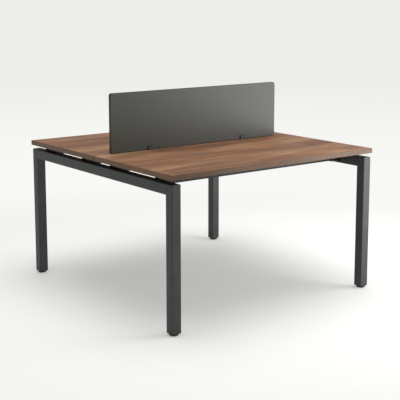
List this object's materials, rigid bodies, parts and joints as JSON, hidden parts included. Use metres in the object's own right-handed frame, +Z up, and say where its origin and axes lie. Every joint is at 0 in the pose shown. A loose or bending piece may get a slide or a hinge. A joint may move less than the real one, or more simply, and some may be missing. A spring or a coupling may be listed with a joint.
{
  "type": "back-to-back office bench desk",
  "caption": "Back-to-back bench desk: walnut-decor worktops floating on rails between square-tube end frames, with a low grey screen along the seam.",
  "frame": {"origin": "on the floor, under the middle of the desk", "axes": "+X along the worktops and the screen, +Y across the desk from the front user to the rear user, +Z up"},
  "size_m": [1.284, 1.334, 1.0555],
  "materials": {
    "worktop_board": "walnut-decor faced board, satin",
    "worktop_edging": "walnut-print edging, satin",
    "frame_paint": "anthracite powder coat, fine texture",
    "rail_paint": "anthracite powder coat, fine texture",
    "screen_board": "grey faced board, satin",
    "screen_edging": "grey edging, satin",
    "bracket_paint": "dark powder coat on a casting",
    "black_plastic": "black moulded plastic, matt",
    "zinc_steel": "bright zinc plate"
  },
  "bodies": {
    "desk": {"front_inner_left_cradle": "rail_paint", "front_inner_rail": "rail_paint", "front_inner_right_cradle": "rail_paint", "front_left_leg": "frame_paint", "front_left_leg_plug": "black_plastic", "front_outer_left_cradle": "rail_paint", "front_outer_rail": "rail_paint", "front_outer_right_cradle": "rail_paint", "front_right_leg": "frame_paint", "front_right_leg_plug": "black_plastic", "front_worktop": "worktop_board", "front_worktop_front_edging": "worktop_edging", "front_worktop_left_edging": "worktop_edging", "front_worktop_rear_edging": "worktop_edging", "front_worktop_right_edging": "worktop_edging", "left_crossbar": "frame_paint", "left_screen_bracket": "bracket_paint", "rail_bolts": "zinc_steel", "rail_nuts": "zinc_steel", "rear_inner_left_cradle": "rail_paint", "rear_inner_rail": "rail_paint", "rear_inner_right_cradle": "rail_paint", "rear_left_leg": "frame_paint", "rear_left_leg_plug": "black_plastic", "rear_outer_left_cradle": "rail_paint", "rear_outer_rail": "rail_paint", "rear_outer_right_cradle": "rail_paint", "rear_right_leg": "frame_paint", "rear_right_leg_plug": "black_plastic", "rear_worktop": "worktop_board", "rear_worktop_front_edging": "worktop_edging", "rear_worktop_left_edging": "worktop_edging", "rear_worktop_rear_edging": "worktop_edging", "rear_worktop_right_edging": "worktop_edging", "right_crossbar": "frame_paint", "right_screen_bracket": "bracket_paint", "screen_bracket_screws": "zinc_steel", "screen_clamp_screws": "zinc_steel", "screen_edging": "screen_edging", "screen_panel": "screen_board", "worktop_screws": "zinc_steel"},
    "front_left_foot": {"front_left_foot_pad": "black_plastic", "front_left_foot_stud": "zinc_steel"},
    "front_right_foot": {"front_right_foot_pad": "black_plastic", "front_right_foot_stud": "zinc_steel"},
    "rear_left_foot": {"rear_left_foot_pad": "black_plastic", "rear_left_foot_stud": "zinc_steel"},
    "rear_right_foot": {"rear_right_foot_pad": "black_plastic", "rear_right_foot_stud": "zinc_steel"}
  },
  "joints": [
    {"name": "front_left_foot_level", "type": "slide", "parent": "desk", "child": "front_left_foot", "axis": [0, 0, -1], "range_m": [0, 0.02]},
    {"name": "front_right_foot_level", "type": "slide", "parent": "desk", "child": "front_right_foot", "axis": [0, 0, -1], "range_m": [0, 0.02]},
    {"name": "rear_left_foot_level", "type": "slide", "parent": "desk", "child": "rear_left_foot", "axis": [0, 0, -1], "range_m": [0, 0.02]},
    {"name": "rear_right_foot_level", "type": "slide", "parent": "desk", "child": "rear_right_foot", "axis": [0, 0, -1], "range_m": [0, 0.02]}
  ]
}
